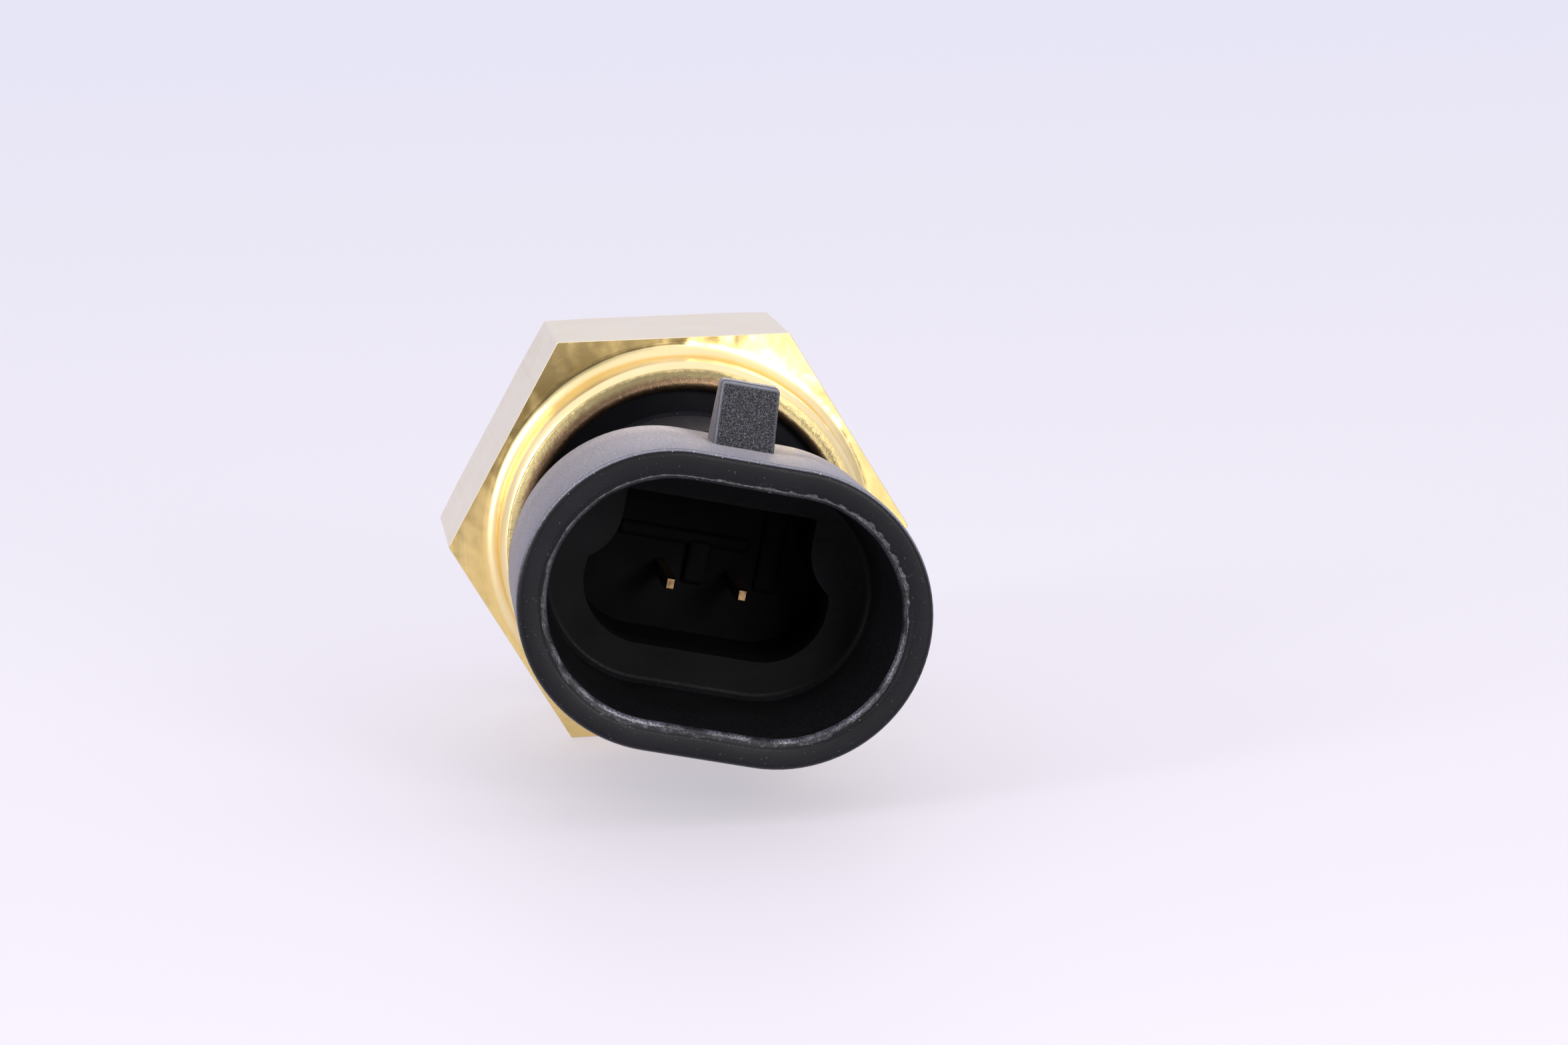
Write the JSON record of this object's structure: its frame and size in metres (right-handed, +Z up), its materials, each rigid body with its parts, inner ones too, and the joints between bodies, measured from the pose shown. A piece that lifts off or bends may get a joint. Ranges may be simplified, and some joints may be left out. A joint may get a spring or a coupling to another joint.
{
  "type": "pressure switch",
  "caption": "Snap-disc pressure switch: brass hexagon body with a threaded port and a crimped black oval connector with a lock ramp and pins in a keyed socket.",
  "frame": {"origin": "on the switch's axis, in the plane of the shoulder that seats on the port", "axes": "+Y along the switch's axis towards the thread, so the connector's mouth faces -Y; +Z up, with the switch lying on a flat of its hexagon; +X to the right as seen from the mouth"},
  "size_m": [0.0312, 0.051, 0.027],
  "materials": {
    "brass_body": "turned and rolled, bright",
    "black_plastic": "moulded, fine spark-eroded grain",
    "terminal": "stamped",
    "epoxy": "poured",
    "seal_rubber": "moulded",
    "cream_plastic": "moulded",
    "steel": "turned",
    "white_ceramic": "ground",
    "spring_steel": "rolled",
    "polyimide": "film",
    "brass_insert": "turned",
    "spring_copper": "rolled strip",
    "silver": "polished"
  },
  "bodies": {
    "root": {"hex_body": "brass_body", "connector_housing": "black_plastic", "terminal_left": "terminal", "terminal_right": "terminal", "terminal_potting": "epoxy", "flange_seal_ring": "seal_rubber", "spacer_sleeve": "cream_plastic", "pin_guide": "steel", "snap_disc": "spring_steel", "disc_seat_ring": "steel", "piston_guide_ring": "steel", "diaphragm": "polyimide", "diaphragm_oring": "seal_rubber", "port_restrictor": "brass_insert", "port_oring": "seal_rubber", "arm_spacer": "brass_insert", "arm_root": "spring_copper", "arm_rivet": "brass_insert", "fixed_contact": "silver"},
    "piston": {"force_piston": "steel"},
    "push_pin": {"actuating_pin": "white_ceramic"},
    "arm": {"contact_arm": "spring_copper", "moving_contact": "silver"}
  },
  "joints": [
    {"name": "piston_slide", "type": "slide", "parent": "root", "child": "piston", "axis": [0, -1, 0], "range_m": [0, 0.000235], "stiffness_N_per_m": 800, "deforming": ["snap_disc", "diaphragm"]},
    {"name": "pin_slide", "type": "slide", "parent": "root", "child": "push_pin", "axis": [0, -1, 0], "range_m": [0, 0.00024]},
    {"name": "arm_bend", "type": "hinge", "parent": "root", "child": "arm", "pos_m": [-0.0043, -0.01352, 0.00094], "axis": [-0.2147, 0, -0.9767], "range_deg": [0, 3.1], "stiffness_Nm_per_rad": 0.01}
  ],
  "couplings": [
    {"joint": "pin_slide", "follows": "piston_slide", "ratio": 1},
    {"joint": "arm_bend", "follows": "piston_slide", "rad_per_m": 227.27}
  ]
}
